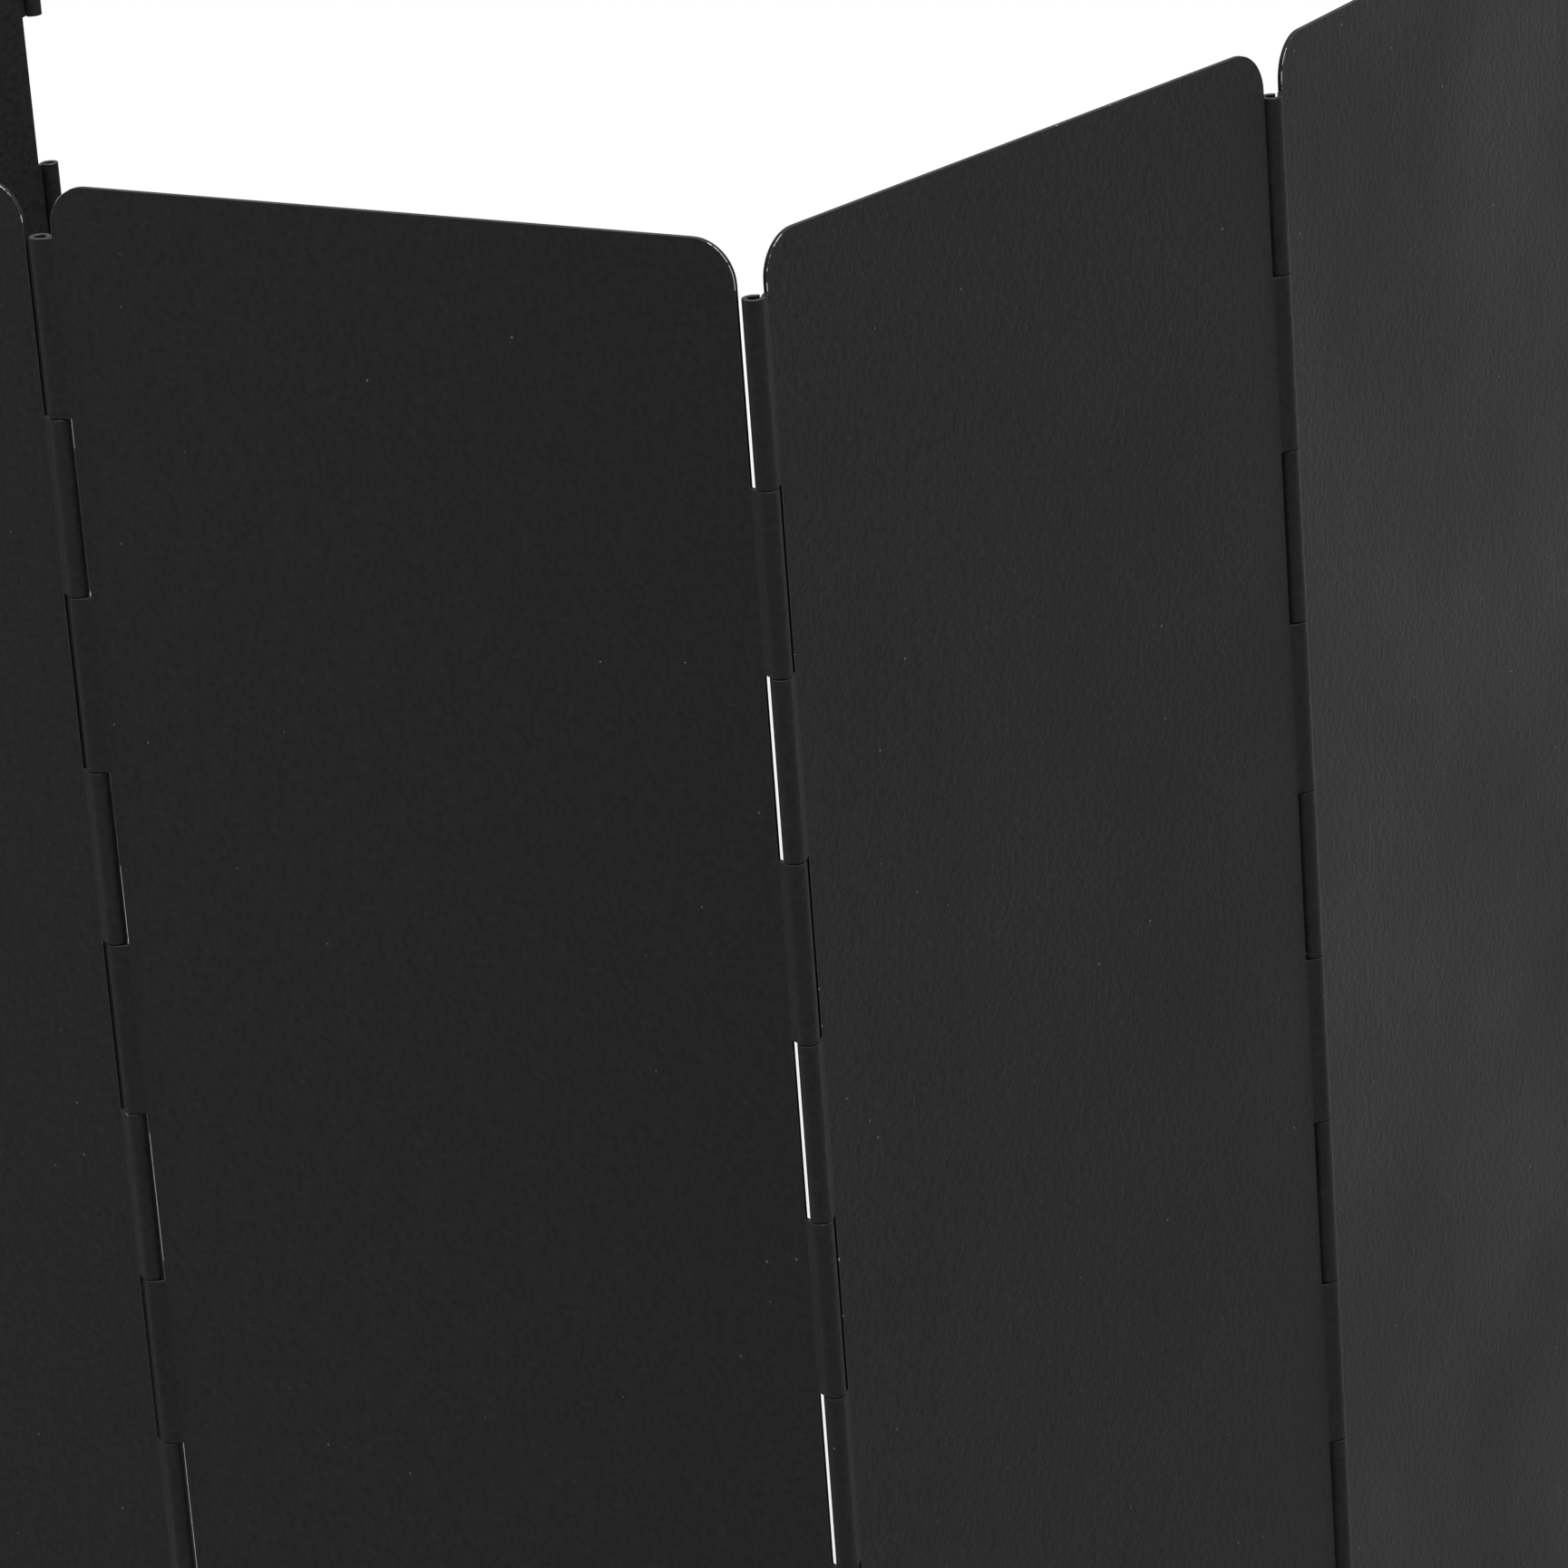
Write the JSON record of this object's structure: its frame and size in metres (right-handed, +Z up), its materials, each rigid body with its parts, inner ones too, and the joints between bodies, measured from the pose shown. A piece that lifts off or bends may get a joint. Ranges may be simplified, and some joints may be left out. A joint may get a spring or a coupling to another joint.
{
  "type": "stove windscreen",
  "caption": "Folding sheet-metal windscreen that stands open round a camp stove; flat plates joined by rolled pin hinges fold together like a concertina.",
  "frame": {"origin": "middle of the standing screen's footprint, on the ground", "axes": "+Z up along the hinge pins; the outside of the middle fold faces -Y and the open side faces +Y"},
  "size_m": [0.2808, 0.462, 0.24],
  "materials": {
    "black_coated_aluminium": "thin black coating with a fine orange-peel texture, satin, bare metal at worn edges",
    "pin_steel": "drawn steel wire"
  },
  "bodies": {
    "plate_01": {"plate_01": "black_coated_aluminium"},
    "plate_02": {"plate_02": "black_coated_aluminium", "hinge_pin_01": "pin_steel"},
    "plate_03": {"plate_03": "black_coated_aluminium", "hinge_pin_02": "pin_steel"},
    "plate_04": {"plate_04": "black_coated_aluminium", "hinge_pin_03": "pin_steel"},
    "plate_05": {"plate_05": "black_coated_aluminium", "hinge_pin_04": "pin_steel"},
    "plate_06": {"plate_06": "black_coated_aluminium", "hinge_pin_05": "pin_steel"},
    "plate_07": {"plate_07": "black_coated_aluminium", "hinge_pin_06": "pin_steel"},
    "plate_08": {"plate_08": "black_coated_aluminium", "hinge_pin_07": "pin_steel"},
    "plate_09": {"plate_09": "black_coated_aluminium", "hinge_pin_08": "pin_steel"},
    "plate_10": {"plate_10": "black_coated_aluminium", "hinge_pin_09": "pin_steel"}
  },
  "joints": [
    {"name": "hinge_01", "type": "hinge", "parent": "plate_02", "child": "plate_01", "pos_m": [-0.13929, -0.06179, 0.12], "axis": [0, 0, -1], "range_deg": [-208.5, 0]},
    {"name": "hinge_02", "type": "hinge", "parent": "plate_03", "child": "plate_02", "pos_m": [-0.13062, -0.14433, 0.12], "axis": [0, 0, -1], "range_deg": [0, 102.5]},
    {"name": "hinge_03", "type": "hinge", "parent": "plate_04", "child": "plate_03", "pos_m": [-0.05985, -0.1877, 0.12], "axis": [0, 0, -1], "range_deg": [-156, 0]},
    {"name": "hinge_04", "type": "hinge", "parent": "plate_04", "child": "plate_05", "pos_m": [0.01167, -0.22983, 0.12], "axis": [0, 0, 1], "range_deg": [0, 75.5]},
    {"name": "hinge_05", "type": "hinge", "parent": "plate_05", "child": "plate_06", "pos_m": [0.06612, -0.16719, 0.12], "axis": [0, 0, 1], "range_deg": [-163.5, 0]},
    {"name": "hinge_06", "type": "hinge", "parent": "plate_06", "child": "plate_07", "pos_m": [0.11071, -0.09718, 0.12], "axis": [0, 0, 1], "range_deg": [0, 140]},
    {"name": "hinge_07", "type": "hinge", "parent": "plate_07", "child": "plate_08", "pos_m": [0.13567, -0.01803, 0.12], "axis": [0, 0, 1], "range_deg": [-170, 0]},
    {"name": "hinge_08", "type": "hinge", "parent": "plate_08", "child": "plate_09", "pos_m": [0.13929, 0.06489, 0.12], "axis": [0, 0, 1], "range_deg": [0, 146]},
    {"name": "hinge_09", "type": "hinge", "parent": "plate_09", "child": "plate_10", "pos_m": [0.1299, 0.14736, 0.12], "axis": [0, 0, 1], "range_deg": [-155, 60]}
  ],
  "couplings": [
    {"joint": "hinge_01", "follows": "hinge_04", "ratio": -2.7616},
    {"joint": "hinge_02", "follows": "hinge_04", "ratio": 1.3576},
    {"joint": "hinge_03", "follows": "hinge_04", "ratio": -2.0662},
    {"joint": "hinge_05", "follows": "hinge_04", "ratio": -2.1656},
    {"joint": "hinge_06", "follows": "hinge_04", "ratio": 1.8543},
    {"joint": "hinge_07", "follows": "hinge_04", "ratio": -2.2517},
    {"joint": "hinge_08", "follows": "hinge_04", "ratio": 1.9338}
  ]
}
